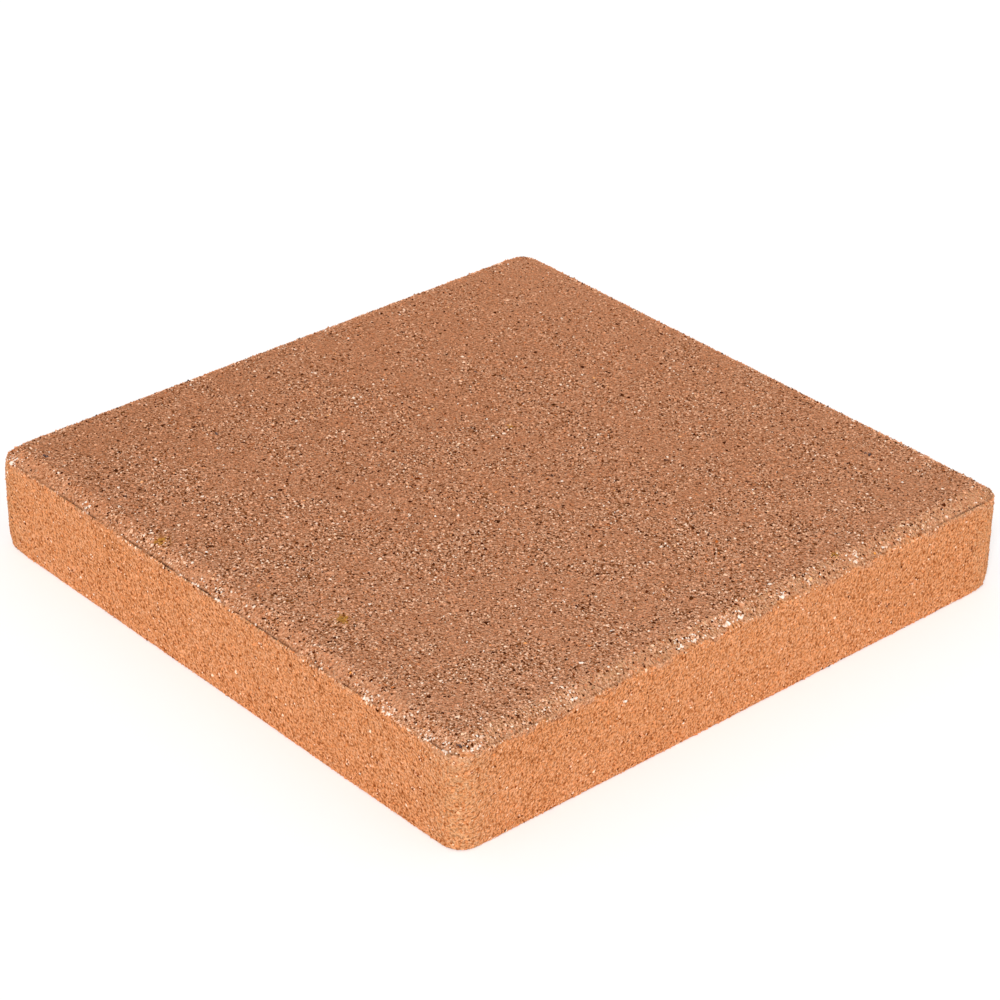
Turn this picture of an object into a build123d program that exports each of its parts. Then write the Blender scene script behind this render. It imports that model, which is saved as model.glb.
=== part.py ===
from build123d import *
import os

# A square concrete paving stone, cast as one piece and lying flat on its underside.
# The origin is at the centre of the underside, +Z is up, and the sides face along X and Y.
# Lengths are in millimetres.

# Plan of the stone, measured across its upright sides.
side_length = 298.0
corner_radius = 9.5

# Section of the stone: upright sides, then a bevel up to the wearing face.
upright_height = 42.0
bevel_run = 7.0
bevel_rise = 5.0

# Corners of the wearing face, inside the bevel.
face_corner_radius = 7.0

# Roundings of the arrises.
face_rounding = 5.0
base_rounding = 1.0

stone_height = upright_height + bevel_rise
face_length = side_length - 2 * bevel_run

with BuildPart() as paving_stone:
    # The upright sides, with corners rounded over their whole height.
    with BuildSketch(Plane.XY):
        RectangleRounded(side_length, side_length, corner_radius)
    extrude(amount=upright_height)

    # The bevel, from the rim of the sides to the edge of the wearing face.
    with BuildSketch(Plane.XY.offset(upright_height)):
        RectangleRounded(side_length, side_length, corner_radius)
    with BuildSketch(Plane.XY.offset(stone_height)):
        RectangleRounded(face_length, face_length, face_corner_radius)
    loft(ruled=True)

    # The bevel runs softly into the wearing face, and the base arris is a little worn.
    wearing_face = paving_stone.faces().sort_by(Axis.Z)[-1]
    fillet(wearing_face.edges(), radius=face_rounding)
    underside = paving_stone.faces().sort_by(Axis.Z)[0]
    fillet(underside.edges(), radius=base_rounding)

paving_stone.part.label = "paving_stone"

os.makedirs("parts", exist_ok=True)
export_step(paving_stone.part, "parts/paving_stone.step")
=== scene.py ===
import itertools
import math

import bpy
import numpy as np
from mathutils import Matrix, Vector


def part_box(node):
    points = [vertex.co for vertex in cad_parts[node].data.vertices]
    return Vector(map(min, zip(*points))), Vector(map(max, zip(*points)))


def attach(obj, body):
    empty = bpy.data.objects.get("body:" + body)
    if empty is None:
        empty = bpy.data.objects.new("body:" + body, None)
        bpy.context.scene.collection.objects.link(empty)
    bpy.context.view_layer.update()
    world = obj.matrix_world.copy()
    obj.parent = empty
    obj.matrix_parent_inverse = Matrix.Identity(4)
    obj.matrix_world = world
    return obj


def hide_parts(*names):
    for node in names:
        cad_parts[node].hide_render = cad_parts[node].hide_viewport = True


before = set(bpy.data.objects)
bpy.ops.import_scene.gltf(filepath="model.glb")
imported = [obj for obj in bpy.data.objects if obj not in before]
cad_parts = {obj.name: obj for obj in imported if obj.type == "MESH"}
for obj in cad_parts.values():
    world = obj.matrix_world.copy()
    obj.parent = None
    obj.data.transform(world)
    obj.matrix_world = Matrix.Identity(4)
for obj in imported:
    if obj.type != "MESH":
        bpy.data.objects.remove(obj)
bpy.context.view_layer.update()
stone_low, stone_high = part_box("paving_stone")

# Sizes of the stone, in metres. The box of the CAD solid gives the rest.
half_side = stone_high.x
stone_height = stone_high.z
corner_radius = 0.0095
face_corner_radius = 0.0070
upright_height = 0.0420
bevel_run = 0.0070
face_rounding = 0.0050
base_rounding = 0.0010
millimetre = 0.001

# The ways right, back and up in the stone's frame.
way_right = (1, 0, 0)
way_back = (0, 1, 0)
way_up = (0, 0, 1)

# The cast skin lies this far inside the solid, so that grit can stand proud of it.
side_skin = 0.00035
face_skin = 0.00050
base_skin = 0.00030
face_level = stone_height - face_skin
bevel_slope = (face_level - upright_height) / (bevel_run - side_skin)

# The mesh of the cast body. A ring goes once round it, along the front, right, back and left sides in turn.
cells_per_side = 220
cells_per_ring = 4 * cells_per_side
base_cell_step = 4
upright_rows = 27
bevel_rows = 5
rounding_rows = 4
side_of_point = np.repeat(np.arange(4), cells_per_side)
right_side = 1

# Rings at the rim, counted down from the wearing face.
crease_row = rounding_rows + bevel_rows
lip_row = crease_row + 1
lip_edge_row = crease_row + 2
rim_row = crease_row + 3

# The lip that the press leaves along the rim, and the crease behind it. The lip's outer edge stands up by a
# share of its height. The bevel ends at its foot, and the upright side starts a margin below the rim.
lip_width = 0.0004
lip_height = 0.0004
lip_edge = lip_width / 3
lip_edge_share = 0.5
crease_inset = 0.0010
crease_depth = 0.0006
bevel_foot = 0.0015
rim_margin = 0.0012
rim_drop = rim_margin / 3

# The lip is an even part with breaks added, up to the most. Below is its share on the front, right, back and
# left sides.
lip_even_part = 0.45
lip_most = 1.2
lip_shares = np.array([1.0, 0.2, 0.6, 0.6])
# The right side's lip is whole only from here to the right corner. It comes in over this length, and the
# line between the finishes is this much calmer there.
whole_lip_start = 0.108
whole_lip_rise = 0.012
whole_lip_calm = 0.5
# Dust on the rim and on the lip, and how strong the painted shadow in the crease behind the lip is.
rim_dust = 0.10
lip_dust = 0.45
crease_painted_shadow = 1.1

# The band of a place tells its finish: the wearing face's from about 0.65 up, and the sides' below 0.15.
# It falls along the bevel and over the rim, and goes on falling below the rim as far as its reach.
face_band = 2.0
bevel_band = 1.0
bevel_foot_band = 0.75
rim_bands = (0.60, 0.48, 0.40, 0.32)
band_reach = 0.004
band_fall = 0.012
# The line between the two finishes rises and falls near the rim, more on some sides than on others.
ragged_rise = 0.6
ragged_reach = 0.003
ragged_shares = np.array([0.5, 1.0, 0.6, 0.6])

# Smooth noises, each with its strength, the width of a lump and the salt of its random numbers.
skin_swells = ((0.00010, 0.060, 1), (0.00006, 0.009, 2), (0.00003, 0.0028, 3))
more_face_swells = ((0.00004, 0.0028, 3),)
lip_breaks = ((1.1, 0.014, 60), (1.1, 0.004, 61))
ragged_waves = ((1.0, 0.006, 65), (0.7, 0.0025, 66))
patches = ((1.0, 0.012, 70), (1.0, 0.0045, 71))

# Pits in the skin and bites out of the rim: the cell that may hold one, the share of cells that do, and its
# size. The smallest have this share of the radius, and bites fade over this reach from the rim.
fine_pits = {"cell": 0.0050, "salt": 10, "share": 0.35, "radius": 0.0011, "depth": 0.0006}
coarse_pits = {"cell": 0.0130, "salt": 20, "share": 0.20, "radius": 0.0018, "depth": 0.0007}
rim_bites = {"cell": 0.011, "salt": 40, "share": 0.55, "radius": 0.0045, "depth": 0.0007}
rim_nicks = {"cell": 0.005, "salt": 50, "share": 0.4, "radius": 0.0020, "depth": 0.0004}
smallest_pit_share = 0.6
rim_wear_reach = 0.0022
# How much of the pits' depth is left on the sides, and how deep a hollow is when its painted shade has
# the whole colour of a pore.
fine_pits_side_share = 0.08
coarse_pits_side_share = 0.10
full_shade_depth = 0.0007

# How far the left, near, back and right corners are worn away at the base and at the rim, and how far up or
# down the wear reaches.
base_corner_wear = np.array([0.0026, 0.0002, 0.0010, 0.0026])
base_wear_height = 0.009
rim_corner_wear = np.array([0.0018, 0.0003, 0.0003, 0.0003])
rim_wear_height = 0.008
# The corners are worn this far along the sides. The bevel's finish runs down them in part and fades over
# the fall.
corner_reach = 0.020
corner_fall = 0.018
corner_band = 0.5

# Grit: the radius of a middling grain. Its height and its lift off the skin are shares of its radius.
face_grain_radius = 0.00037
edge_grain_radius = 0.00035
side_grain_radius = 0.00042
speck_radius = 0.00042
face_grain_height = 1.1
edge_grain_height = 0.9
side_grain_height = 0.5
speck_height = 0.8
face_grain_lift = 0.1
side_grain_lift = -0.1
pit_lift = 0.0
# How many grains the sides have.
side_grains = 22000
# How near and far the corners of a grain stand, how much they stray, and how a grain is drawn out.
grain_corners = (0.75, 1.20)
grain_stray = 0.22
grain_stretch = (0.75, 1.25)
# The natural logarithm of a grain's size against a middling one: its spread and its limits.
grain_size_spread = 0.32
grain_size_limits = (-0.7, 0.9)
# In its map a grain reaches this share of its cell out from the cell's middle.
map_cell_share = 0.42

# The shade of middling grains, from 0, darkest, to 1, palest, and how widely grains are spread about it.
face_grain_shade = 0.51
side_grain_shade = 0.53
face_shade_spread = 0.12
edge_shade_spread = 0.16
side_shade_spread = 0.10
# Grains take on the wearing face's finish from this band on, over this rise, each a little earlier or later.
grain_band_start = 0.15
grain_band_rise = 0.5
grain_band_spread = 0.15
# How far single grains range from orange to grey, in the even sand and in the specks, and in which colours.
sand_variety = 0.06
speck_variety = 0.14
grey_shift = np.array([0.0, 1.0, 2.0])

# A pale grain and a dark grain of painted pit shade lie side by side in each block of this many squares of
# the wearing face.
squares_per_pair = 3
pair_distance = 0.0008
bevel_pairs = 1500
side_pairs = 4000
# Besides, a larger dark grain of painted pit shade lies in each block of this many squares.
squares_per_pit = 4
pit_radius = 0.00050
bevel_pits = 150

# How strongly the finish varies at the middle of the stone, how much more at the near corner and less at the
# back corner, and how patchily.
middle_contrast = 1.05
near_contrast = 0.33
back_contrast = 0.62
patch_contrast = 0.55
patch_limits = (0.45, 1.6)

# How much paler the bevel, the near and back corners, the right end and the rough patches are than the rest
# of the wearing face, and the bevel's share of orange.
bevel_lift = 0.037
corner_lift = 0.033
right_lift = 0.018
rough_lift = 0.03
bevel_orange = 0.20
# The bevel's looks start this far in from the sides and are whole after the fade.
edge_reach = 0.0105
edge_fade = 0.0050
# A share of the dust colour makes the upright corners paler. Dust lies on the right bevel, where it starts a
# margin further in and is whole after the fade. A dusted grain is covered in part.
corner_paling = 0.50
right_dust = 0.22
right_dust_margin = 0.003
right_dust_fade = 0.004
grain_dust = 0.5

# Pale broken places, in millimetres: the distance from the middle along the front rim, and the width.
front_rim_chips = (
    (-137, 4), (-105, 2), (-84, 3), (-60, 1), (-20, 2), (-11, 3), (5, 4), (28, 1), (68, 2), (95, 3), (107, 3),
    (114, 1), (130, 3), (141, 3),
)
# The same along the right bevel.
right_bevel_chips = (
    (-138, 4), (-122, 1), (-91, 3), (-61, 1), (-35, 3), (-28, 4), (-10, 4), (-3, 3), (5, 1), (21, 3), (35, 2),
    (62, 3), (79, 2), (87, 1), (101, 1), (116, 2), (133, 1),
)
# How far in from the side these lie, and how far in along the bevel that their height is taken.
front_chip_inset = 0.9
front_chip_run = 0.5
right_chip_inset = 2.3
right_chip_run = 2.0
# On the right side: the distance from the middle, the height and the width.
right_side_chips = ((-66, 33, 3), (-34, 9, 1), (126, 38, 1))
side_chip_inset = 0.4
# How many rough spots the sides have, the width of one, and the rows of squares that may hold one.
side_spots = 80
side_spot_width = 2
side_spot_rows = slice(2, -rounding_rows - 1)
# Dark stones in the wearing face: the place and the width. One more lies in the near corner of the bevel.
dark_stones = (
    (94, 125, 3), (-67, 67, 2), (25, -4, 2), (12, -1, 2), (21, 12, 2), (-78, -132, 2), (-127, -138, 3),
    (-97, -72, 2), (-68, 48, 2), (43, 57, 2),
)
corner_stone_place = (143.5, -143.0, 44.3)
corner_stone_normal = (0.4, -0.4, 0.8)
corner_stone_along = (0.7, 0.7, 0.0)
corner_stone_width = 3
# Pale stones in the wearing face, in the same way, and how far above it stones lie before they are seated.
pale_stones = (
    (-86, -79, 1), (-82, -75, 1), (-78, -104, 1), (-58, -108, 2), (-37, -123, 1), (-54, -75, 1),
    (-23, -92, 2), (-78, 40, 1), (-38, 36, 1), (96, -50, 1), (70, 111, 1), (72, 138, 1), (118, 74, 1),
    (64, 62, 1), (111, 2, 1), (45, 58, 1),
)
stone_lift = 0.2
# Fragments: the least radius, the most in a place of no width, and the scatter, in millimetres. The height
# and the lift are shares of the radius. A random shade is raised to the width less 1, within two powers.
# Places from the crumbled width on have crumbs round them: pale ones, and dark ones of painted shade.
fragment_least = 0.30
fragment_most = 0.34
fragment_scatter = 0.2
fragment_height = 0.6
fragment_lift = 0.35
fragment_shade_powers = (0.5, 2)
crumbled_width = 3
# Ochre stains on the wearing face: the place and the radius, in millimetres, and how dense they are.
ochre_stains = ((-21, 27, 2.0), (-41, -141, 3.2), (51, -124, 3.4), (141, 55, 1.8))
stained_grains = 1.4

# Colours of the concrete, as plain linear red, green and blue.
# The first colour below is the darkest brown of grains, crumbs and stones, and the colour of painted shade in
# hollows, the crease and dark grains beside pale ones.
deep_brown_and_pore_shade = (0.055, 0.010, 0.001)
face_dark = (0.190, 0.054, 0.010)
face_middle = (0.543, 0.234, 0.117)
face_pale = (0.800, 0.440, 0.268)
side_dark = (0.280, 0.062, 0.008)
side_middle = (0.730, 0.288, 0.112)
side_pale = (0.920, 0.455, 0.245)
sand_white = (0.920, 0.680, 0.500)
dust = (0.560, 0.330, 0.165)
chip_white = (0.880, 0.790, 0.680)
stone_grey = (0.120, 0.085, 0.080)
ochre = (0.470, 0.215, 0.035)
# The colour of the floor and the light.
white = (1.0, 1.0, 1.0)

# Patterns in the cast skin: the lumps to the metre, the detail and the roughness of its noises, and the
# grains to the metre of its two packings.
sand_noise = (1000.0, 0.0, 0.5)
crumb_noise = (420.0, 2.0, 0.6)
cloud_noise = (22.0, 3.0, 0.55)
face_packing = 1400.0
side_packing = 1000.0
# The bands where the wearing face's finish starts and is whole, and how far crumbs fray that line.
finish_line = (0.15, 0.65)
finish_fray = 0.8
# The skin's middle shades, and what odd grains, sand, crumbs and clouds add to them. The skin's shades run
# over three colours and the grains' over five, so what makes the grains paler counts double in the skin.
face_skin_shade = 0.53
face_odd_shade = 4.0
face_sand_shade = 0.8
face_crumb_shade = 0.1
face_cloud_shade = 0.06
face_lift_shade = 2
side_skin_shade = 0.64
side_odd_shade = 0.4
side_cloud_shade = 0.2
# Painted shade in the valleys between packed grains: the distances from a grain's middle where it starts and
# is whole, and how dark it is.
valley_line = (0.5, 0.8)
face_valley_shade = 0.35
side_valley_shade = 0.38
# Dust lies on high crumbs and sand, pits and the crease get painted shade, and stains have ragged edges,
# in shares of their radius.
dust_line = (-0.16, 0.12)
dust_sand = 0.5
pore_shade_strength = 0.7
stain_line = (0.5, 1.2)
stain_fray = 2
stain_strength = 0.8
# The bump of the skin, and how matt skin and grains are.
bump_height = 0.0010
crumb_bump = 0.3
face_gap_bump = 0.6
side_gap_bump = 0.9
skin_roughness = 0.92
grain_roughness = 0.85
concrete_gloss = 0.03

# Camera, fitted to the outline and the rim lines of the photograph.
focal_length = 117.59
sensor_width = 36.0
camera_azimuth = math.radians(48.25)
camera_elevation = math.radians(30.23)
camera_roll = math.radians(0.71)
camera_distance = 1.4246
camera_aim = Vector((-0.0372, 0.0357, 0.0))
nearest_seen = 0.01
farthest_seen = 100.0

# Light: an even white dome, which is seen as a backdrop of its own strength, and a broad soft key from the
# near corner.
dome_strength = 0.50
backdrop_strength = 1.0
key_strength = 2.70
key_azimuth = math.radians(45.0)
key_elevation = math.radians(40.0)
key_spread = math.radians(20.0)
floor_reach = 8.0

# Seeds of the random draws, and the primes, shifts and bit masks of the repeatable random numbers.
face_grit_seed = 11
side_grit_seed = 12
chip_seed = 13
speck_seed = 14
cell_primes = (73856093, 19349663, 83492791)
salt_prime = 49979687
stir_prime = 1274126177
stir_shifts = (13, 16)
low_32_bits = 0xFFFFFFFF
low_24_bits = 0xFFFFFF


def cell_random(cells, salt):
    """A repeatable random number from 0 to 1 for each whole-number cell.

    The three numbers of the cell and the salt are multiplied by large primes and joined by exclusive or. The
    lower 32 bits are stirred by two shifts and one more product, and the lower 24 give the share.
    """
    x_prime, y_prime, z_prime = cell_primes
    first_shift, last_shift = stir_shifts
    mixed = (cells[..., 0] * x_prime) ^ (cells[..., 1] * y_prime) ^ (cells[..., 2] * z_prime)
    mixed = (mixed ^ (salt * salt_prime)) & low_32_bits
    mixed = ((mixed ^ (mixed >> first_shift)) * stir_prime) & low_32_bits
    return ((mixed ^ (mixed >> last_shift)) & low_24_bits) / (low_24_bits + 1)


def smooth_noise(points, cell, salt):
    """Noise from -1 to 1: random numbers at the corners of a cubic lattice, blended by 3t^2 - 2t^3."""
    scaled = points / cell
    corner = np.floor(scaled).astype(np.int64)
    blend = scaled - corner
    blend = blend * blend * (3 - 2 * blend)
    total = np.zeros(points.shape[:-1])
    for step in np.ndindex(2, 2, 2):
        weight = np.prod(np.where(np.array(step) == 1, blend, 1 - blend), axis=-1)
        total += weight * cell_random(corner + np.array(step), salt)
    return 2 * total - 1


def layered_noise(points, layers):
    """The sum of smooth noises, each times its strength."""
    return sum(strength * smooth_noise(points, cell, salt) for strength, cell, salt in layers)


def nearest_spot(points, cell, salt):
    """Distance to the nearest random spot, of one in each cell of a lattice, and its random number."""
    scaled = points / cell
    home = np.floor(scaled).astype(np.int64)
    nearest = np.full(points.shape[:-1], np.inf)
    owner = np.zeros(points.shape[:-1])
    for step in np.ndindex(3, 3, 3):
        cells = home + np.array(step) - 1
        place = cells + np.stack([cell_random(cells, salt + axis) for axis in range(3)], axis=-1)
        distance = np.linalg.norm(scaled - place, axis=-1)
        closer = distance < nearest
        nearest = np.where(closer, distance, nearest)
        owner = np.where(closer, cell_random(cells, salt + 3), owner)
    return nearest * cell, owner


def pits(points, cell, salt, share, radius, depth):
    """Depth of round hollows: in a share of the cells, a bowl depth * (1 - (distance / radius)^2) deep."""
    distance, owner = nearest_spot(points, cell, salt)
    size = radius * (smallest_pit_share + (1 - smallest_pit_share) * owner / share)
    bowl = np.clip(1 - (distance / size) ** 2, 0, None)
    return np.where(owner < share, depth * bowl, 0)


def unit(vectors):
    """Vectors divided by their lengths."""
    return vectors / np.linalg.norm(vectors, axis=-1, keepdims=True)


def plan(across, along, half, radius):
    """The point of a rounded square that belongs to a point of the square from -1 to 1.

    The square is scaled to its half size. In each corner's block the point is drawn in towards the block's
    inner corner, by the larger of its two shares over their length, which makes the block a quarter disc.
    """
    x, y = across * half, along * half
    past_x = np.clip((np.abs(x) - (half - radius)) / radius, 0, None)
    past_y = np.clip((np.abs(y) - (half - radius)) / radius, 0, None)
    length = np.hypot(past_x, past_y)
    draw = np.where(length > 0, np.maximum(past_x, past_y) / np.where(length > 0, length, 1), 1)
    inside_x = np.abs(x) - past_x * radius
    inside_y = np.abs(y) - past_y * radius
    return np.sign(x) * (inside_x + past_x * radius * draw), np.sign(y) * (inside_y + past_y * radius * draw)


def stone_section():
    """Rows of the section from the wearing face down to the underside: inset, height and band of each row.

    The rows follow the rounding into the bevel as a quadratic curve, the bevel as a straight line, the crease
    and the lip at the rim, the upright side, and the rounding of the base as a quarter circle. The inset of
    the wearing face's edge, where the rounding starts, comes last.
    """
    lean = math.atan(bevel_slope)
    reach = face_rounding * math.tan(lean / 2)
    t = np.linspace(0, 1, rounding_rows + 1)[1:]
    rounding_inset = bevel_run + reach * ((1 - t) ** 2 - t**2 * math.cos(lean))
    rounding_height = face_level - reach * t**2 * math.sin(lean)

    foot_inset = side_skin + bevel_foot
    foot_height = upright_height + bevel_slope * bevel_foot
    t = np.linspace(0, 1, bevel_rows + 1)[1:]
    bevel_inset = rounding_inset[-1] + t * (foot_inset - rounding_inset[-1])
    bevel_height = rounding_height[-1] + t * (foot_height - rounding_height[-1])

    rim_inset = side_skin + np.array([crease_inset, lip_width, lip_edge, 0])
    rim_rise = np.array([bevel_slope * crease_inset, bevel_slope * lip_width, 0, -rim_drop])
    rim_height = upright_height + rim_rise

    upright_inset = np.full(upright_rows, side_skin)
    upright = np.linspace(upright_height - rim_margin, base_rounding + base_skin, upright_rows)
    turn = np.linspace(0, math.pi / 2, rounding_rows + 1)[1:]
    base_inset = side_skin + base_rounding * (1 - np.cos(turn))
    base_height = base_skin + base_rounding * (1 - np.sin(turn))

    inset = np.concatenate([rounding_inset, bevel_inset, rim_inset, upright_inset, base_inset])
    height = np.concatenate([rounding_height, bevel_height, rim_height, upright, base_height])
    band = np.concatenate([
        np.linspace(face_band, bevel_band, rounding_rows + 1)[1:],
        np.linspace(bevel_band, bevel_foot_band, bevel_rows),
        rim_bands,
        np.clip((upright - upright_height + band_reach) / band_fall, 0, None),
        np.zeros(rounding_rows),
    ])
    return inset, height, band, bevel_run + reach


def ring_of_sheet():
    """Grid places along the edge of the wearing face's sheet, anticlockwise from its lowest corner."""
    count = np.arange(cells_per_side)
    low = np.zeros(cells_per_side, int)
    high = np.full(cells_per_side, cells_per_side)
    across = np.concatenate([count, high, high - count, low])
    along = np.concatenate([low, count, high, high - count])
    return across, along


def flat_sheet(line, inset, radius, level):
    """A square sheet drawn into a rounded square, at one level."""
    across, along = np.meshgrid(line, line, indexing="ij")
    x, y = plan(across, along, half_side - inset, radius)
    return np.stack([x, y, np.full_like(x, level)], axis=-1)


def section_rings(line, inset, height):
    """Rings of the rounded square, one for each row of the section.

    The corner radius falls in a straight line with the inset, from the sides' to the wearing face's.
    """
    ring_i, ring_j = ring_of_sheet()
    radius_slope = (corner_radius - face_corner_radius) / bevel_run
    radius = np.clip(corner_radius - radius_slope * inset, face_corner_radius, None)[:, None]
    x, y = plan(line[ring_i][None], line[ring_j][None], half_side - inset[:, None], radius)
    return np.stack([x, y, np.broadcast_to(height[:, None], x.shape)], axis=-1)


def relief(points, band):
    """How far the cast skin stands out from the smooth shape, and how hollow it is there.

    Three sizes of smooth noise make the skin uneven, and two sizes of pits sink into it.
    """
    face = np.clip(band - bevel_band, 0, 1)
    uneven = layered_noise(points, skin_swells) + face * layered_noise(points, more_face_swells)
    hollow = pits(points, **fine_pits) * (fine_pits_side_share + (1 - fine_pits_side_share) * face)
    hollow += pits(points, **coarse_pits) * (coarse_pits_side_share + (1 - coarse_pits_side_share) * face)
    return uneven, hollow


def rim_wear(points):
    """Depth of small bites along the rim: bowls in a share of the cells, fading away from the rim line."""
    by_rim = np.exp(-(((points[..., 2] - upright_height) / rim_wear_reach) ** 2))
    return by_rim * (pits(points, **rim_bites) + pits(points, **rim_nicks))


def corner_wear(points):
    """From 0, away from the upright corners, to nearly 1 at their middles, in a straight line."""
    nearer = np.minimum(np.abs(points[..., 0]), np.abs(points[..., 1]))
    return np.clip(1 + (nearer - half_side) / corner_reach, 0, 1)


def end_wear(points):
    """Depth of the wear at the ends of the upright corners, by the square of the nearness to an end."""
    corner = (points[..., 0] > 0) + 2 * (points[..., 1] > 0)
    by_base = np.clip(1 - points[..., 2] / base_wear_height, 0, 1)
    by_rim = np.clip(1 - np.abs(points[..., 2] - upright_height) / rim_wear_height, 0, 1)
    depth = base_corner_wear[corner] * by_base**2 + rim_corner_wear[corner] * by_rim**2
    return depth * corner_wear(points) ** 2


def right_bevel(points):
    """From 0, on the wearing face, to 1 over the bevel of the right side."""
    return np.clip((points[..., 0] - half_side + bevel_run + right_dust_margin) / right_dust_fade, 0, 1)


def by_edge(points):
    """From 0 on the wearing face to 1 on the bevel, in a straight line with the distance from a side."""
    inset = half_side - np.maximum(np.abs(points[..., 0]), np.abs(points[..., 1]))
    return np.clip((edge_reach - inset) / edge_fade, 0, 1)


def surface_normals(rows):
    """Outward normals of rings stacked downwards: the way round each ring crossed with the way up."""
    around = np.roll(rows, -1, axis=1) - np.roll(rows, 1, axis=1)
    upwards = -np.gradient(rows, axis=0)
    return unit(np.cross(around, upwards))


def rim_lip(rim_line):
    """How far the lip stands up along the rim, each side's share of it, and where the right one is whole.

    Noise breaks the lip into stretches. Near the right corner the right side's share rises to all of it.
    """
    broken = np.clip(lip_even_part + layered_noise(rim_line, lip_breaks), 0, lip_most)
    on_right = side_of_point == right_side
    whole = np.clip((rim_line[:, 1] - whole_lip_start) / whole_lip_rise, 0, 1) * on_right
    share = lip_shares[side_of_point] + (1 - lip_shares[side_of_point]) * whole
    return broken * share, share, whole


def dust_of_rings(rings, height, lip, lip_share):
    """How much of the dust colour the rings take: on the right bevel, along the lip, and down the worn
    corners.
    """
    worn = right_dust * right_bevel(rings) * (height > upright_height)
    worn[lip_row : lip_edge_row + 1] = rim_dust * lip_share + lip_dust * lip
    worn[rim_row] = rim_dust * lip_share
    worn[rim_row:] += corner_paling * corner_wear(rings)[rim_row:]
    return worn


def bands_of_rings(rings, height, band, whole):
    """The rings' bands, with a ragged line at the rim, and the bevel's finish running down the worn corners.

    The line wanders by two noises, under a bell curve about the rim. The corners' share fades downwards.
    """
    by_rim = np.exp(-(((height - upright_height) / ragged_reach) ** 2))
    calm = ragged_shares[side_of_point] * (1 - whole_lip_calm * whole)
    ragged = ragged_rise * layered_noise(rings, ragged_waves) * by_rim * calm
    fall = np.clip(1 - (upright_height - height) / corner_fall, 0, 1) * (height < upright_height)
    return band + ragged + corner_band * corner_wear(rings) * fall


def joined(*parts):
    """The values of the sheet's, the rings' and the underside's points, one after the other."""
    return np.concatenate([np.ravel(part) for part in parts])


def cast_body():
    """The whole skin of the stone as one closed surface: points, bands, hollows, dust and faces.

    The wearing face is a square sheet drawn into a rounded square. Below its edge, rings of the same rounded
    square follow the section down to the base, and a coarser sheet closes the underside. Each point is moved
    along its normal by the relief.
    """
    inset, height, band, sheet_inset = stone_section()
    line = np.linspace(-1, 1, cells_per_side + 1)
    sheet = flat_sheet(line, sheet_inset, face_corner_radius, face_level)
    rings = section_rings(line, inset, height)
    base = flat_sheet(line[::base_cell_step][1:-1], inset[-1], corner_radius, base_skin)

    # The lip stands up along the rim, with the crease behind it.
    lip, lip_share, whole = rim_lip(rings[lip_edge_row])
    rings[crease_row, :, 2] -= crease_depth * lip
    rings[lip_row, :, 2] += lip_height * lip
    rings[lip_edge_row, :, 2] += lip_height * lip_edge_share * lip

    ring_i, ring_j = ring_of_sheet()
    normals = surface_normals(np.concatenate([sheet[ring_i, ring_j][None], rings]))[1:]
    normals[-1] = (0, 0, -1)
    ring_band = np.broadcast_to(band[:, None], rings.shape[:2])
    uneven, ring_hollow = relief(rings, ring_band)
    rings = rings + normals * (uneven - ring_hollow - rim_wear(rings) - end_wear(rings))[..., None]
    # Painted shadow: the crease behind the lip is marked as hollow, so the finish darkens it to the colour of
    # pores where the lip stands up.
    ring_hollow[crease_row] += full_shade_depth * crease_painted_shadow * lip

    sheet_band = np.full(sheet.shape[:2], face_band)
    uneven, sheet_hollow = relief(sheet, sheet_band)
    sheet[..., 2] += uneven - sheet_hollow

    base_band = np.zeros(base.shape[:2])
    uneven, base_hollow = relief(base, base_band)
    base[..., 2] -= uneven - base_hollow

    height = height[:, None]
    points = np.concatenate([part.reshape(-1, 3) for part in (sheet, rings, base)])
    bands = joined(sheet_band, bands_of_rings(rings, height, ring_band, whole), base_band)
    hollows = joined(sheet_hollow, ring_hollow, base_hollow) / full_shade_depth
    ring_worn = dust_of_rings(rings, height, lip, lip_share)
    worn = joined(np.zeros_like(sheet_band), ring_worn, np.zeros_like(base_band))
    return points, bands, hollows, worn, body_faces(len(inset))


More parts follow.
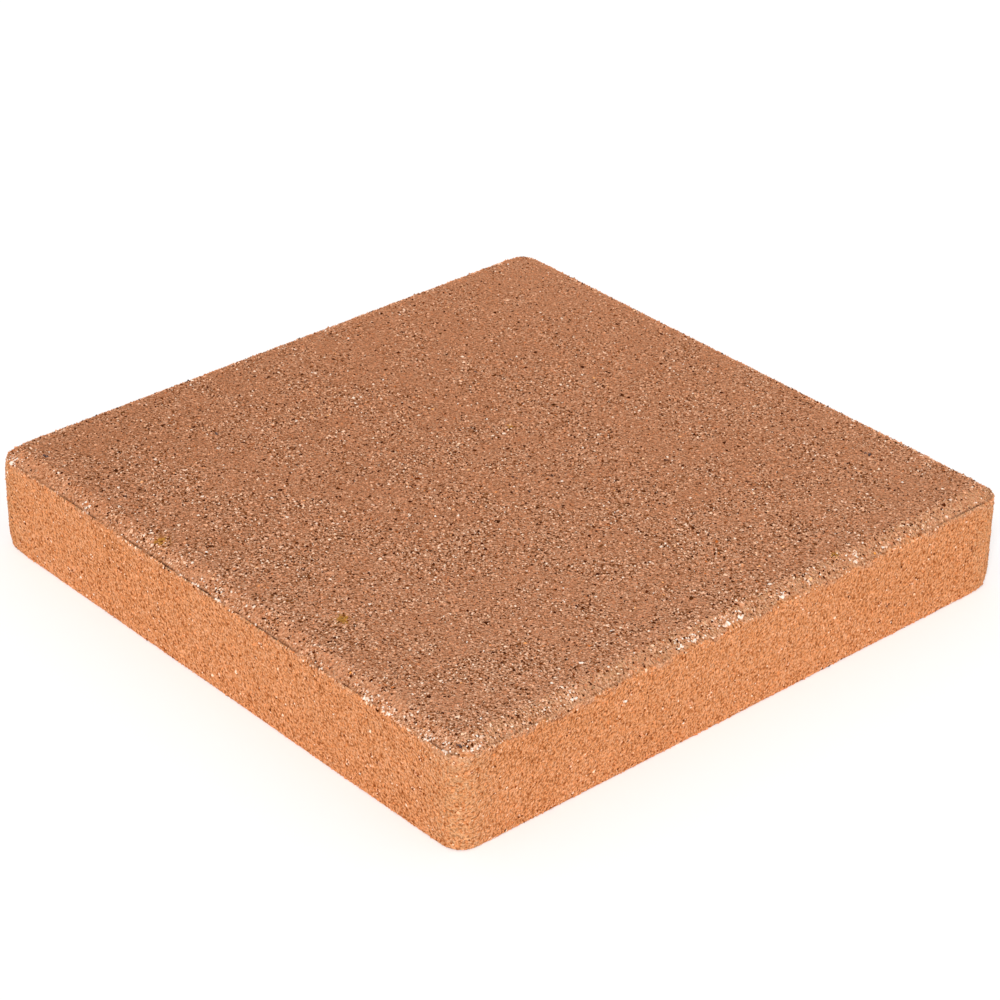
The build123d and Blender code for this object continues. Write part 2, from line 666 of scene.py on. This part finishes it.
def body_faces(row_count):
    """Faces of the cast body: the sheet's squares, the squares between rings, and the underside.

    The underside's squares are larger, so those along its edge take in the ring's points between corners.
    """
    cells = cells_per_side
    ring_i, ring_j = ring_of_sheet()
    sheet = np.arange((cells + 1) ** 2).reshape(cells + 1, cells + 1)
    rings = sheet.size + np.arange(row_count * cells_per_ring).reshape(row_count, cells_per_ring)
    rows = np.concatenate([sheet[ring_i, ring_j][None], rings])
    sheet_quads = np.stack([sheet[:-1, :-1], sheet[1:, :-1], sheet[1:, 1:], sheet[:-1, 1:]], axis=-1)
    after = np.roll(rows, -1, axis=1)
    ring_quads = np.stack([rows[1:], after[1:], after[:-1], rows[:-1]], axis=-1)

    step = base_cell_step
    coarse = cells // step
    inner = rings[-1, -1] + 1 + np.arange((coarse - 1) ** 2).reshape(coarse - 1, coarse - 1)
    base_quads = np.stack([inner[:-1, :-1], inner[:-1, 1:], inner[1:, 1:], inner[1:, :-1]], axis=-1)
    last = rings[-1]
    edge_faces = []
    corner_faces = []
    for side, inner_line in enumerate([inner[:, 0], inner[-1, :], inner[::-1, -1], inner[0, ::-1]]):
        start = side * cells + step * np.arange(1, coarse - 1)
        outer = last[start[:, None] + np.arange(step + 1)]
        inner_pairs = np.stack([inner_line[:-1], inner_line[1:]], axis=1)
        edge_faces.append(np.concatenate([inner_pairs, outer[:, ::-1]], axis=1))
        around_corner = last[(side * cells + np.arange(-step, step + 1)) % cells_per_ring]
        corner_faces.append([int(inner_line[0])] + around_corner[::-1].tolist())
    return {
        "face": sheet_quads.reshape(-1, 4),
        "bevel": ring_quads[:crease_row].reshape(-1, 4),
        "crease": ring_quads[crease_row:lip_edge_row].reshape(-1, 4),
        "rim": ring_quads[lip_edge_row : rim_row + 1].reshape(-1, 4),
        "upright": ring_quads[rim_row + 1 :].reshape(-1, 4),
        "base": base_quads.reshape(-1, 4),
        "base_edge": np.concatenate(edge_faces),
        "base_corner": np.array(corner_faces),
    }


def square_normals(corner):
    """Normals of squares: one diagonal crossed with the other."""
    return unit(np.cross(corner[:, 2] - corner[:, 0], corner[:, 3] - corner[:, 1]))


def one_in_each(points, quads, draws):
    """One random place in each square of a surface, with the surface's normal there.

    The place is two shares of the square, blended between its four corners.
    """
    corner = points[quads]
    u, v = draws.random((2, len(quads), 1))
    near_edge = corner[:, 0] * (1 - u) + corner[:, 1] * u
    far_edge = corner[:, 3] * (1 - u) + corner[:, 2] * u
    return near_edge * (1 - v) + far_edge * v, square_normals(corner)


def seated(places, points, quads):
    """Places moved onto a surface, along the normal of the square whose middle is nearest, with that normal.

    The nearest middle m to a place p has the least m.m - 2 m.p.
    """
    corner = points[quads]
    middles = corner.mean(axis=1)
    nearest = ((middles**2).sum(axis=1) - 2 * places @ middles.T).argmin(axis=1)
    normals = square_normals(corner[nearest])
    height = ((places - middles[nearest]) * normals).sum(axis=1, keepdims=True)
    return places - height * normals, normals


def octahedron():
    """The six corners along the axes, and the eight triangles between a corner of each axis."""
    corners = np.concatenate([np.eye(3), -np.eye(3)])
    triples = np.array([(x, y, z) for x in (0, 3) for y in (1, 4) for z in (2, 5)])
    return corners, outward(corners, triples)


def icosahedron():
    """The twelve corners (0, 1, golden) in all signs and turns, and the twenty triangles between neighbours.

    Neighbours lie 2 apart, and all other corners more than 3, before the corners are brought to a distance
    of 1 from the middle.
    """
    golden = (1 + math.sqrt(5)) / 2
    corners = np.array([
        np.roll((0.0, one, golden * other), turn) for turn in range(3) for one in (1, -1) for other in (1, -1)
    ])
    triples = np.array(list(itertools.combinations(range(len(corners)), 3)))
    spots = corners[triples]
    edges = np.linalg.norm(spots - np.roll(spots, 1, axis=1), axis=-1)
    triples = triples[(edges < 3).all(axis=1)]
    return corners / np.linalg.norm(corners[0]), outward(corners, triples)


def outward(corners, triples):
    """Triangles of a solid about the origin, with those that face inwards turned round."""
    spots = corners[triples]
    inward = np.einsum("ij,ij->i", np.cross(spots[:, 1], spots[:, 2]), spots[:, 0]) < 0
    return np.where(inward[:, None], triples[:, ::-1], triples)


def grit(solid, places, normals, radii, draws, height, lift):
    """Points and triangles of grains set in a surface.

    Each grain is a solid whose corners stand a little nearer or farther and stray at random. It is drawn out
    by its own shares along two random ways in the surface, given its height along the normal, and lifted. It
    stays inside the CAD box.
    """
    corners, triples = solid
    count = len(places)
    shape = corners[None] * draws.uniform(*grain_corners, (count, len(corners), 1))
    shape = shape + draws.normal(0, grain_stray, shape.shape)
    stretch = radii[:, None] * draws.uniform(*grain_stretch, (count, 2))
    first = unit(np.cross(normals, draws.normal(size=(count, 3))))
    second = np.cross(normals, first)
    points = places[:, None] + shape[..., 0:1] * (first * stretch[:, :1])[:, None]
    points += shape[..., 1:2] * (second * stretch[:, 1:])[:, None]
    points += (shape[..., 2:3] * height + lift) * (normals * radii[:, None])[:, None]
    points = np.clip(points, np.array(stone_low), np.array(stone_high))
    faces = triples[None] + len(corners) * np.arange(count)[:, None, None]
    return points.reshape(-1, 3), faces.reshape(-1, 3)


def graded(shade, *stops):
    """Colours for shades from 0 at the first stop to 1 at the last, blended in straight lines."""
    stops = np.array(stops)
    evenly = np.linspace(0, 1, len(stops))
    return np.stack([np.interp(shade, evenly, stops[:, channel]) for channel in range(3)], axis=-1)


def nearness(points):
    """From -1 at the back corner to 1 at the near corner, in a straight line."""
    return (points[..., 0] - points[..., 1]) / (2 * half_side)


def patchiness(points):
    """About 1, more in some patches and less in others, from two smooth noises."""
    return np.clip(1 + patch_contrast * layered_noise(points, patches), *patch_limits)


def contrast(points):
    """How strongly the finish of the wearing face varies: most at the near corner, least at the back."""
    near = nearness(points)
    even = middle_contrast + np.where(near > 0, near_contrast, back_contrast) * near
    return even * patchiness(points)


def paleness(points):
    """How much paler the wearing face and the bevel are at a place than the average."""
    lift = corner_lift * nearness(points) ** 2 + right_lift * points[..., 0] / half_side
    return lift + bevel_lift * by_edge(points) + rough_lift * (contrast(points) - 1)


def set_off(values, columns):
    """Random numbers on a grid, each less the mean of its eight neighbours, so that neighbours differ."""
    grid = values.reshape(-1, columns)
    total = sum(np.roll(grid, step, axis=(0, 1)) for step in itertools.product((-1, 0, 1), repeat=2))
    return (grid - (total - grid) / 8).ravel()


def new_piece(name, points, faces, smooth):
    """A mesh object at the origin, with its place in its points."""
    mesh = bpy.data.meshes.new(name)
    mesh.from_pydata(points, [], faces)
    mesh.polygons.foreach_set("use_smooth", np.full(len(mesh.polygons), smooth))
    mesh.update()
    piece = bpy.data.objects.new(name, mesh)
    bpy.context.scene.collection.objects.link(piece)
    return piece


def add_values(piece, name, values):
    """One number for each point of the piece, for its finish to read."""
    attribute = piece.data.attributes.new(name, "FLOAT", "POINT")
    attribute.data.foreach_set("value", values.astype(np.float32))


def add_colours(piece, name, colours):
    """One linear colour for each point of the piece, for its finish to read."""
    attribute = piece.data.attributes.new(name, "FLOAT_COLOR", "POINT")
    full = np.concatenate([colours, np.ones((len(colours), 1))], axis=1)
    attribute.data.foreach_set("color", full.astype(np.float32).ravel())


def set_in_stone(piece, finish):
    """Gives a piece its finish, and makes it part of the stone."""
    piece.data.materials.append(finish)
    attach(piece, "root")
    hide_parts("paving_stone")


class Value:
    """One socket of a node tree. Sums and products of values add Math nodes."""

    def __init__(self, nodes, socket):
        self.nodes = nodes
        self.socket = socket

    def also(self, output):
        """Another output of the same node."""
        return Value(self.nodes, self.socket.node.outputs[output])

    def math(self, operation, first, second):
        """One Math node on two values or numbers."""
        return self.nodes.add("ShaderNodeMath", {"operation": operation}, {0: first, 1: second})

    def __add__(self, other):
        return self.math("ADD", self, other)

    def __radd__(self, other):
        return self.math("ADD", other, self)

    def __sub__(self, other):
        return self.math("SUBTRACT", self, other)

    def __rsub__(self, other):
        return self.math("SUBTRACT", other, self)

    def __mul__(self, other):
        return self.math("MULTIPLY", self, other)

    def __rmul__(self, other):
        return self.math("MULTIPLY", other, self)


class Nodes:
    """A node tree, with one method that adds any node and a few words for the ones used often."""

    def __init__(self, owner):
        owner.use_nodes = True
        self.tree = owner.node_tree
        self.tree.nodes.clear()

    def add(self, kind, settings=None, sockets=None, output=0):
        """Adds a node: its settings first, then its sockets' values or links. Gives one of its outputs."""
        node = self.tree.nodes.new(kind)
        for name, value in (settings or {}).items():
            setattr(node, name, value)
        for key, value in (sockets or {}).items():
            if isinstance(value, Value):
                self.tree.links.new(value.socket, node.inputs[key])
            else:
                node.inputs[key].default_value = value
        return Value(self, node.outputs[output]) if node.outputs else None

    def place(self):
        """The point's place in the object."""
        return self.add("ShaderNodeTexCoord", output="Object")

    def stored(self, name, output="Fac"):
        """What the piece holds under a name at the point."""
        return self.add("ShaderNodeAttribute", {"attribute_name": name}, None, output)

    def noise(self, place, scale, detail, roughness):
        """Noise from about -0.5 to 0.5 with about scale lumps to the metre."""
        sockets = {"Vector": place, "Scale": scale, "Detail": detail, "Roughness": roughness}
        return self.add("ShaderNodeTexNoise", None, sockets) - 0.5

    def packed(self, place, scale):
        """Packed grains, scale of them to the metre: the distance from a grain's middle, and its chance."""
        gap = self.add("ShaderNodeTexVoronoi", None, {"Vector": place, "Scale": scale}, "Distance")
        return gap, self.add("ShaderNodeSeparateColor", None, {"Color": gap.also("Color")})

    def step(self, value, low, high):
        """A smooth step from 0 at low to 1 at high."""
        sockets = {"Value": value, "From Min": low, "From Max": high}
        return self.add("ShaderNodeMapRange", {"interpolation_type": "SMOOTHSTEP"}, sockets)

    def mix(self, share, first, second):
        """A colour between two colours."""
        settings = {"data_type": "RGBA", "clamp_factor": True}
        return self.add("ShaderNodeMix", settings, {0: share, 6: first, 7: second}, 2)

    def graded(self, shade, dark, middle, pale):
        """A colour from dark at shade 0 through middle at 0.5 to pale at 1."""
        lower = self.mix(2 * shade, paint(dark), paint(middle))
        return self.mix(2 * shade - 1, lower, paint(pale))

    def stain(self, place, centre, radius, ragged):
        """A spot round a centre, whose ragged edge comes from a noise."""
        away = self.add("ShaderNodeVectorMath", {"operation": "DISTANCE"}, {0: place, 1: centre}, "Value")
        whole_to, none_from = stain_line
        return 1 - self.step(away + ragged * radius, radius * whole_to, radius * none_from)

    def bump(self, height, distance):
        """A normal that follows a height, of which 1 is the distance."""
        return self.add("ShaderNodeBump", None, {"Height": height, "Distance": distance, "Strength": 1.0})

    def surface(self, sockets):
        """The shader of a surface, as the tree's output."""
        shader = self.add("ShaderNodeBsdfPrincipled", None, sockets)
        self.add("ShaderNodeOutputMaterial", None, {"Surface": shader})


def paint(colour):
    """A colour as the four numbers that a socket takes."""
    return (*colour, 1.0)


def terracotta_concrete():
    """The cast skin: sandy brown face and bevel with open pores, and smoother orange sides."""
    material = bpy.data.materials.new("terracotta_concrete")
    nodes = Nodes(material)
    place = nodes.place()
    sand = nodes.noise(place, *sand_noise)
    crumb = nodes.noise(place, *crumb_noise)
    cloud = nodes.noise(place, *cloud_noise)
    face_gap, face_chance = nodes.packed(place, face_packing)
    side_gap, side_chance = nodes.packed(place, side_packing)
    spread = nodes.stored("contrast")
    on_face = nodes.step(nodes.stored("band") + finish_fray * crumb, *finish_line)
    on_side = 1 - on_face
    on_bevel = on_face * nodes.stored("edge")

    # The two finishes, each in its own shades, and the brown one a little orange on the bevel.
    odd = face_chance - 0.5
    grains = face_odd_shade * odd * odd * odd + face_sand_shade * sand + face_crumb_shade * crumb
    face_shade = face_skin_shade + spread * grains + face_cloud_shade * cloud
    face_shade = face_shade + face_lift_shade * nodes.stored("lift")
    side_shade = side_skin_shade - side_odd_shade * side_chance * side_chance * side_chance
    side_shade = side_shade + sand + side_cloud_shade * cloud
    colour = nodes.mix(
        on_face * (1 - bevel_orange * on_bevel),
        nodes.graded(side_shade, side_dark, side_middle, side_pale),
        nodes.graded(face_shade, face_dark, face_middle, face_pale),
    )

    # Painted shade in the valleys between the grains and in the pits and the crease; dust and stains.
    # Painted shade: the valleys between packed grains darken towards the dark colours.
    face_valley_shading = nodes.step(face_gap, *valley_line) * on_face * spread
    colour = nodes.mix(face_valley_shading * face_valley_shade, colour, paint(face_dark))
    side_valley_shading = nodes.step(side_gap, *valley_line) * on_side
    colour = nodes.mix(side_valley_shading * side_valley_shade, colour, paint(side_dark))
    dusty = nodes.stored("worn") * nodes.step(crumb + dust_sand * sand, *dust_line)
    colour = nodes.mix(dusty, colour, paint(dust))
    # Painted shade: hollows darken towards the colour of pores by their depth.
    colour = nodes.mix(nodes.stored("hollow") * spread * pore_shade_strength, colour, paint(deep_brown_and_pore_shade))
    ragged = stain_fray * crumb + stain_fray * sand
    for across, along, radius in ochre_stains:
        centre = (across * millimetre, along * millimetre, stone_height)
        stain = nodes.stain(place, centre, radius * millimetre, ragged)
        colour = nodes.mix(stain * stain_strength, colour, paint(ochre))

    height = sand + crumb_bump * crumb
    height = height - face_gap_bump * face_gap * on_face - side_gap_bump * side_gap * on_side
    nodes.surface({
        "Base Color": colour,
        "Roughness": skin_roughness,
        "Specular IOR Level": concrete_gloss,
        "Normal": nodes.bump(height, bump_height),
    })
    return material


def sand_grit():
    """Grains of sand, each in its own colour."""
    material = bpy.data.materials.new("sand_grit")
    nodes = Nodes(material)
    nodes.surface({
        "Base Color": nodes.stored("grain_colour", "Color"),
        "Roughness": grain_roughness,
        "Specular IOR Level": concrete_gloss,
    })
    return material


def white_floor():
    """A plain white floor that keeps the stone's shadow."""
    material = bpy.data.materials.new("white_floor")
    Nodes(material).surface({"Base Color": paint(white), "Roughness": 1.0, "Specular IOR Level": 0.0})
    return material


def make_floor():
    """One wide square under the stone."""
    corners = floor_reach * np.array([[-1, -1, 0], [1, -1, 0], [1, 1, 0], [-1, 1, 0]], float)
    floor = new_piece("floor", corners, [[0, 1, 2, 3]], False)
    floor.data.materials.append(white_floor())


def make_light():
    """The dome is the world's own colour. The key is a lamp so far away that its light is even."""
    world = bpy.data.worlds.new("studio")
    bpy.context.scene.world = world
    nodes = Nodes(world)
    dome = nodes.add("ShaderNodeBackground", None, {"Color": paint(white), "Strength": dome_strength})
    backdrop = nodes.add("ShaderNodeBackground", None, {"Color": paint(white), "Strength": backdrop_strength})
    seen = nodes.add("ShaderNodeLightPath", None, None, "Is Camera Ray")
    shown = seen + seen.also("Is Glossy Ray") + seen.also("Is Transmission Ray")
    background = nodes.add("ShaderNodeMixShader", None, {0: shown, 1: dome, 2: backdrop})
    nodes.add("ShaderNodeOutputWorld", None, {"Surface": background})

    lamp = bpy.data.lights.new("key", "SUN")
    lamp.energy = key_strength
    lamp.angle = key_spread
    key = bpy.data.objects.new("key", lamp)
    key.rotation_euler = direction(key_azimuth, key_elevation).to_track_quat("Z", "Y").to_euler()
    bpy.context.scene.collection.objects.link(key)


def direction(azimuth, elevation):
    """The way from the stone towards an azimuth, counted from the front to the right, and an elevation."""
    level = math.cos(elevation)
    return Vector((math.sin(azimuth) * level, -math.cos(azimuth) * level, math.sin(elevation)))


def make_camera():
    """The camera looks at its aim from an azimuth and an elevation, and is rolled about its own axis."""
    lens = bpy.data.cameras.new("camera")
    lens.sensor_width = sensor_width
    lens.lens = focal_length
    lens.clip_start = nearest_seen
    lens.clip_end = farthest_seen
    camera = bpy.data.objects.new("camera", lens)
    back = direction(camera_azimuth, camera_elevation)
    turned = back.to_track_quat("Z", "Y").to_matrix() @ Matrix.Rotation(camera_roll, 3, "Z")
    camera.matrix_world = Matrix.Translation(camera_aim + back * camera_distance) @ turned.to_4x4()
    bpy.context.scene.collection.objects.link(camera)
    bpy.context.scene.camera = camera


def make_body():
    """The cast body, with what its finish reads at each point. Gives its points, bands and faces."""
    points, bands, hollows, worn, faces = cast_body()
    polygons = [face for part in faces.values() for face in part.tolist()]
    body = new_piece("cast_body", points, polygons, True)
    add_values(body, "band", bands)
    # The depth of the pits and the crease, for the finish's painted shade.
    add_values(body, "hollow", np.clip(hollows, 0, 1))
    add_values(body, "worn", worn)
    add_values(body, "contrast", contrast(points))
    add_values(body, "edge", by_edge(points))
    add_values(body, "lift", paleness(points))
    set_in_stone(body, terracotta_concrete())
    return points, bands, faces


def make_grit_piece(name, solid, points, faces, colours, finish):
    """A joined mesh of grains, with one colour for each grain.

    In its map each grain has its own cell of a square grid, and lies there as seen along its height.
    """
    piece = new_piece(name, points, faces, False)
    corners, _ = solid
    add_colours(piece, "grain_colour", np.repeat(colours, len(corners), axis=0))
    grid = math.ceil(math.sqrt(len(colours)))
    cells = np.stack(np.divmod(np.arange(len(colours)), grid), axis=-1) + 0.5
    spots = (cells[:, None] + map_cell_share * corners[None, :, :2]) / grid
    layer = piece.data.uv_layers.new(name="OFBake")
    layer.data.foreach_set("uv", spots.reshape(-1, 2)[faces.ravel()].astype(np.float32).ravel())
    set_in_stone(piece, finish)


def grain_sizes(middling, count, draws):
    """Radii spread evenly by ratio about a middling one, mostly within a half of it."""
    return middling * np.exp(np.clip(draws.normal(0, grain_size_spread, count), *grain_size_limits))


def face_share(band, draws):
    """How much of the wearing face's finish grains have, from their band, in a straight line."""
    stray = draws.normal(0, grain_band_spread, len(band))
    return np.clip((band + stray - grain_band_start) / grain_band_rise, 0, 1)[:, None]


def varied(colours, variety, draws):
    """Colours with more or less green, and twice that of blue, so that grains range from orange to grey."""
    greyer = draws.normal(0, variety, (len(colours), 1))
    return np.clip(colours * (1 + greyer * grey_shift), 0, 1)


def dusted(colours, chance, draws):
    """Colours of grains, with dust over part of each grain that its chance picks."""
    chosen = draws.random(len(colours)) < chance
    return np.where(chosen[:, None], (1 - grain_dust) * colours + grain_dust * np.array(dust), colours)


def stained(colours, places, draws):
    """Colours of grains, with ochre for those in a stain: all at its middle, and fewer towards its edge."""
    for across, along, radius in ochre_stains:
        away_x = places[:, 0] - across * millimetre
        away_y = places[:, 1] - along * millimetre
        away = np.hypot(away_x, away_y) / (radius * millimetre)
        chosen = draws.random(len(places)) < stained_grains * (1 - away)
        colours = np.where(chosen[:, None], ochre, colours)
    return colours


def make_face_grit(body_points, bands, faces, finish):
    """Sand in every square of the wearing face, the bevel and the rim, more orange towards the sides."""
    draws = np.random.default_rng(face_grit_seed)
    sheet = faces["face"]
    edge = np.concatenate([faces["bevel"], faces["rim"]])
    sheet_odds = set_off(draws.laplace(0, face_shade_spread, len(sheet)), cells_per_side)
    edge_odds = set_off(draws.laplace(0, edge_shade_spread, len(edge)), cells_per_ring)
    for name, quads, odds, radius, height in (
        ("face_grit_1", sheet[0::2], sheet_odds[0::2], face_grain_radius, face_grain_height),
        ("face_grit_2", sheet[1::2], sheet_odds[1::2], face_grain_radius, face_grain_height),
        ("edge_grit", edge, edge_odds, edge_grain_radius, edge_grain_height),
    ):
        places, normals = one_in_each(body_points, quads, draws)
        radii = grain_sizes(radius, len(places), draws)
        points, triangles = grit(octahedron(), places, normals, radii, draws, height, face_grain_lift)
        band = bands[quads].mean(axis=1)
        on_bevel = by_edge(places)
        shade = face_grain_shade + paleness(places) + contrast(places) * odds
        brown = graded(shade, deep_brown_and_pore_shade, face_dark, face_middle, face_pale, sand_white)
        orange = graded(shade, deep_brown_and_pore_shade, side_dark, side_middle, side_pale, sand_white)
        brown_share = face_share(band, draws) * (1 - bevel_orange * on_bevel)[:, None]
        colours = orange + brown_share * (brown - orange)
        colours = dusted(colours, right_dust / grain_dust * on_bevel * right_bevel(places), draws)
        colours = stained(varied(colours, sand_variety, draws), places, draws)
        make_grit_piece(name, octahedron(), points, triangles, colours, finish)


def one_in_each_block(squares, draws):
    """One square at random in each block of the wearing face, as places in the list of its squares."""
    blocks = cells_per_side // squares
    first = squares * np.indices((blocks, blocks)).reshape(2, -1)
    row, column = first + draws.integers(0, squares, first.shape)
    return row * cells_per_side + column


def pairs(places, normals, draws):
    """Places beside the given ones, at the pair distance in a random direction along the surface."""
    return places + pair_distance * unit(np.cross(normals, draws.normal(size=normals.shape)))


def make_face_specks(body_points, faces, finish):
    """Bare pale grains, each beside a dark grain of painted pit shade, and larger dark grains of painted
    pit shade, spread evenly over face and bevel.
    """
    draws = np.random.default_rng(speck_seed)
    groups = []
    for squares, on_bevel in ((squares_per_pair, bevel_pairs), (squares_per_pit, bevel_pits)):
        bevel = draws.permutation(faces["bevel"])[:on_bevel]
        chosen = np.concatenate([faces["face"][one_in_each_block(squares, draws)], bevel])
        places, normals = one_in_each(body_points, chosen, draws)
        kept = draws.random(len(places)) < contrast(places)
        groups.append((places[kept], normals[kept]))
    (paired, paired_normals), (single, single_normals) = groups
    dark_places = np.concatenate([paired, single])
    dark_normals = np.concatenate([paired_normals, single_normals])
    paired_radii = grain_sizes(speck_radius, len(paired), draws)
    dark_radii = np.concatenate([paired_radii, grain_sizes(pit_radius, len(single), draws)])
    pale_radii = grain_sizes(speck_radius, len(paired), draws)
    pale_places = pairs(paired, paired_normals, draws)
    # The dark grains are painted shade of pits beside the pale grains.
    pit_shade_stops = (deep_brown_and_pore_shade, deep_brown_and_pore_shade, face_dark)
    pale_stops = (face_middle, face_middle, face_pale, sand_white)
    for name, places, normals, radii, lift, stops in (
        ("painted_pit_shade", dark_places, dark_normals, dark_radii, pit_lift, pit_shade_stops),
        ("pale_grains", pale_places, paired_normals, pale_radii, face_grain_lift, pale_stops),
    ):
        points, triangles = grit(octahedron(), places, normals, radii, draws, speck_height, lift)
        colours = varied(graded(draws.random(len(places)), *stops), speck_variety, draws)
        make_grit_piece(name, octahedron(), points, triangles, colours, finish)


def make_side_grit(body_points, bands, faces, finish):
    """Sand in the upright sides, coated with the orange skin, with dark grains of painted pit shade, each
    beside a pale grain.

    The dark grains lie in the squares that are darkest for their neighbourhood, which spreads them evenly.
    """
    draws = np.random.default_rng(side_grit_seed)
    squares = faces["upright"]
    odds = set_off(draws.normal(0, side_shade_spread, len(squares)), cells_per_ring)
    order = np.argsort(odds)
    coated = draws.permutation(order[side_pairs:])[: side_grains - 2 * side_pairs]
    chosen = np.concatenate([coated, order[:side_pairs]])
    places, normals = one_in_each(body_points, squares[chosen], draws)
    shade = side_grain_shade + patchiness(places) * odds[chosen]
    orange = graded(shade, side_dark, side_middle, side_pale)
    brown = graded(shade, face_dark, face_middle, face_pale)
    colours = orange + face_share(bands[squares[chosen]].mean(axis=1), draws) * (brown - orange)
    chance = draws.random(side_pairs)
    # Painted shade: the paired dark grains stand for pits beside the pale grains.
    colours[-side_pairs:] = graded(1 - chance**2, deep_brown_and_pore_shade, side_dark, side_middle)
    colours = np.concatenate([colours, graded(chance**2, side_middle, side_pale, sand_white)])
    places = np.concatenate([places, pairs(places[-side_pairs:], normals[-side_pairs:], draws)])
    normals = np.concatenate([normals, normals[-side_pairs:]])
    radii = grain_sizes(side_grain_radius, len(places), draws)
    points, triangles = grit(octahedron(), places, normals, radii, draws, side_grain_height, side_grain_lift)
    colours = dusted(colours, corner_paling * corner_wear(places), draws)
    colours = varied(colours, sand_variety, draws)
    make_grit_piece("side_grit", octahedron(), points, triangles, colours, finish)


def edge_chips():
    """Broken places along the front rim and the right bevel.

    A broken place is its middle, its normal, the way along its edge and its width, in millimetres.
    """
    half = half_side / millimetre
    rim = upright_height / millimetre
    front_y = front_chip_inset - half
    front_z = rim + front_chip_run * bevel_slope
    right_x = half - right_chip_inset
    right_z = rim + right_chip_run * bevel_slope
    front = [
        ((along, front_y, front_z), (0, -bevel_slope, 1), way_right, width)
        for along, width in front_rim_chips
    ]
    right = [
        ((right_x, along, right_z), (bevel_slope, 0, 1), way_back, width)
        for along, width in right_bevel_chips
    ]
    return front + right


def side_chips():
    """Broken places on the right side."""
    right_x = half_side / millimetre - side_chip_inset
    return [((right_x, along, up), way_right, way_back, width) for along, up, width in right_side_chips]


def face_stones(stones):
    """Stones in the wearing face, as broken places."""
    level = face_level / millimetre + stone_lift
    return [((across, along, level), way_up, way_right, width) for across, along, width in stones]


def rough_spots(body_points, upright, draws):
    """Rough places at random on the flat of the sides, as broken places."""
    flat = upright.reshape(-1, cells_per_ring, 4)[side_spot_rows].reshape(-1, 4)
    middles, normals = one_in_each(body_points, draws.permutation(flat)[:side_spots], draws)
    along = np.cross(normals, way_up)
    return [(*place, side_spot_width) for place in zip(middles / millimetre, normals, along)]


def clusters(group, share, growth, across, draws):
    """Places of fragments round broken places, and the width of each one's broken place.

    A broken place gets a share of its width in fragments, at random distances along its edge that grow with
    its width, and some part of the given distance up the slope.
    """
    middles, normals, along, widths = (np.array(column, float) for column in zip(*group))
    owner = np.repeat(np.arange(len(widths)), (share * widths).astype(int))
    width = widths[owner]
    upwards = unit(np.cross(along, normals))
    upwards *= np.sign(upwards[:, 2:])
    places = middles[owner] + (growth * width * draws.normal(size=len(owner)))[:, None] * along[owner]
    places += across * draws.random((len(owner), 1)) * upwards[owner]
    places += draws.normal(0, fragment_scatter, (len(owner), 3))
    return millimetre * places, width


def make_chips(body_points, faces, finish):
    """Pale chips along the rim and the right bevel, crumbs and painted shade round large ones, stones in the
    face, and spots.

    The spots are rough places on the sides, with dark and pale crumbs. Wider places have fragments that are
    coarser and nearer to the first of their colours.
    """
    draws = np.random.default_rng(chip_seed)
    spots = rough_spots(body_points, faces["upright"], draws)
    edges = edge_chips()
    pale = edges + side_chips() + face_stones(pale_stones)
    large = [(*place, width) for *place, width in edges if width >= crumbled_width]
    dark = face_stones(dark_stones)
    dark.append((corner_stone_place, corner_stone_normal, corner_stone_along, corner_stone_width))
    skin = np.concatenate([faces[part] for part in ("face", "bevel", "crease", "rim", "upright")])
    # Each piece: its places, fragments to a millimetre of width, their spread along and up the edge,
    # how much coarser they are in wider places, and their colours.
    for name, group, share, growth, across, coarseness, stops in (
        ("pale_chips", pale, 2, 0.25, 0.6, 0.13, (chip_white, face_pale)),
        # The crumbs' darker colours are painted shade in cracks beside large chips, and their paler ones are
        # crumbs.
        ("crumbs", large, 6, 0.80, 4.0, 0.03, (chip_white, face_pale, face_dark, deep_brown_and_pore_shade)),
        ("dark_stones", dark, 2, 0.25, 0.6, 0.13, (stone_grey, deep_brown_and_pore_shade)),
        ("side_spots", spots, 4, 0.35, 2.0, 0.04, (sand_white, side_pale, side_dark, deep_brown_and_pore_shade)),
    ):
        places, width = clusters(group, share, growth, across, draws)
        places, normals = seated(places, body_points, skin)
        radii = millimetre * draws.uniform(fragment_least, fragment_most + coarseness * width)
        points, triangles = grit(icosahedron(), places, normals, radii, draws, fragment_height, fragment_lift)
        shade = draws.random(len(places)) ** np.clip(width - 1, *fragment_shade_powers)
        make_grit_piece(name, icosahedron(), points, triangles, graded(shade, *stops), finish)


stone_points, stone_bands, stone_faces = make_body()
grit_finish = sand_grit()
make_face_grit(stone_points, stone_bands, stone_faces, grit_finish)
make_face_specks(stone_points, stone_faces, grit_finish)
make_side_grit(stone_points, stone_bands, stone_faces, grit_finish)
make_chips(stone_points, stone_faces, grit_finish)
make_floor()
make_light()
make_camera()
bpy.context.scene.view_settings.view_transform = "Standard"
